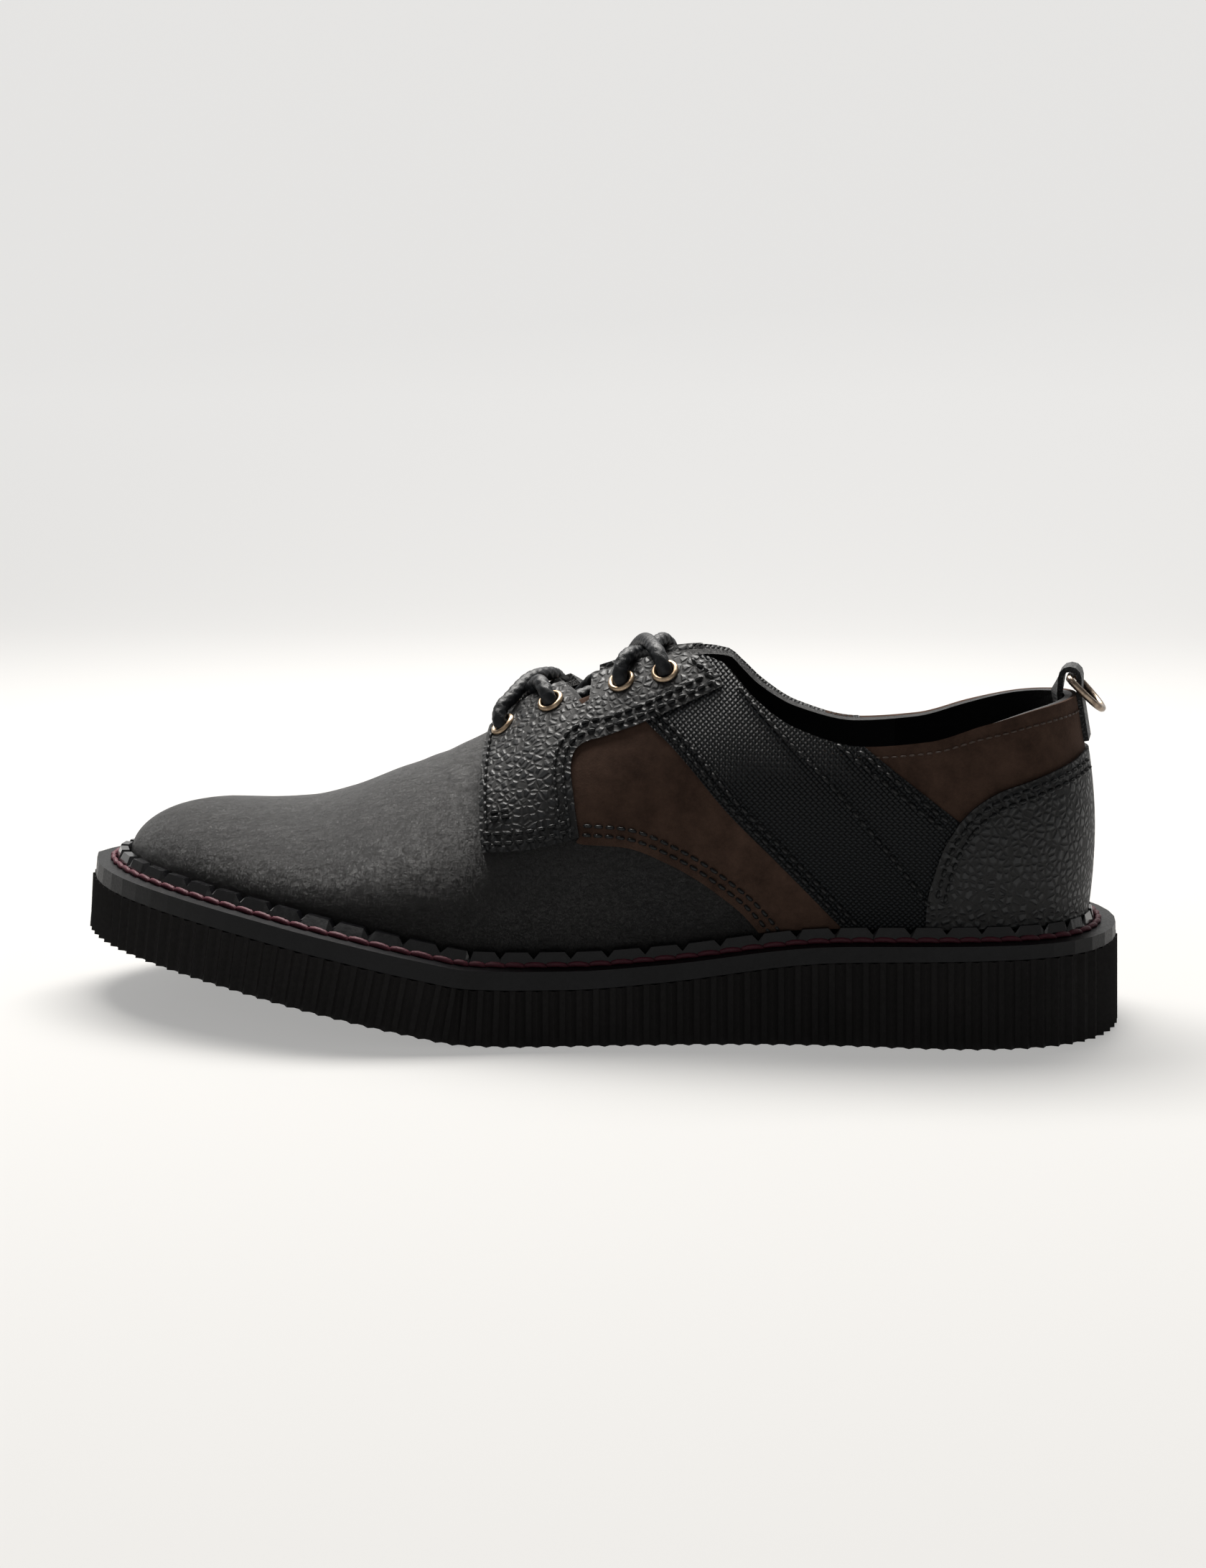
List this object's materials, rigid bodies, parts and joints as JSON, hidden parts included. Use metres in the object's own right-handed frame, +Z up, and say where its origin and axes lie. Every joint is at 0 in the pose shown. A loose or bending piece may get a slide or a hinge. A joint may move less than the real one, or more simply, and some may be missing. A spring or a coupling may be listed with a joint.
{
  "type": "derby shoe",
  "caption": "Left low derby shoe with a ribbed platform sole, a notched welt, mixed leather, suede and nylon panels, a laced throat and a heel tab with a ring.",
  "frame": {"origin": "centre of the bounding box on the floor, under the sole", "axes": "+X towards the heel along the shoe, -Y the outer (lateral) side, +Z up"},
  "size_m": [0.303, 0.1112, 0.107],
  "materials": {
    "smooth_leather": "smooth black leather with a soft sheen",
    "pebbled_leather": "pebbled black leather",
    "suede": "dark brown suede",
    "woven_nylon": "black basket weave",
    "rubber": "black, half matte",
    "matte_rubber": "black, matte",
    "gloss_rubber": "black, glossy",
    "antique_brass": "aged brass",
    "dark_bronze": "dark bronze",
    "waxed_cord": "black waxed braid"
  },
  "bodies": {
    "shoe": {"outsole": "rubber", "midsole": "matte_rubber", "insole": "smooth_leather", "welt": "gloss_rubber", "upper": "smooth_leather", "counter": "pebbled_leather", "eyestay_lateral": "pebbled_leather", "eyestay_medial": "pebbled_leather", "tongue": "pebbled_leather", "quarter_front_lateral": "suede", "quarter_front_medial": "suede", "collar_panel_lateral": "suede", "collar_panel_medial": "suede", "quarter_middle_lateral": "woven_nylon", "quarter_middle_medial": "woven_nylon", "pull_tab": "smooth_leather", "lace_cross_front": "waxed_cord", "lace_cross_rear": "waxed_cord", "lace_cross_inner": "waxed_cord", "lace_bar_front": "waxed_cord", "eyelet_lateral_1": "antique_brass", "eyelet_lateral_2": "antique_brass", "eyelet_lateral_3": "antique_brass", "eyelet_lateral_4": "antique_brass", "eyelet_medial_1": "antique_brass", "eyelet_medial_2": "antique_brass", "eyelet_medial_3": "antique_brass", "eyelet_medial_4": "antique_brass"},
    "ring": {"pull_ring": "dark_bronze"}
  },
  "joints": [
    {"name": "ring_swing", "type": "hinge", "parent": "shoe", "child": "ring", "pos_m": [0.13894, -0.00056, 0.0963], "axis": [-0.1736, -0.9848, 0], "range_deg": [0, 250]}
  ]
}
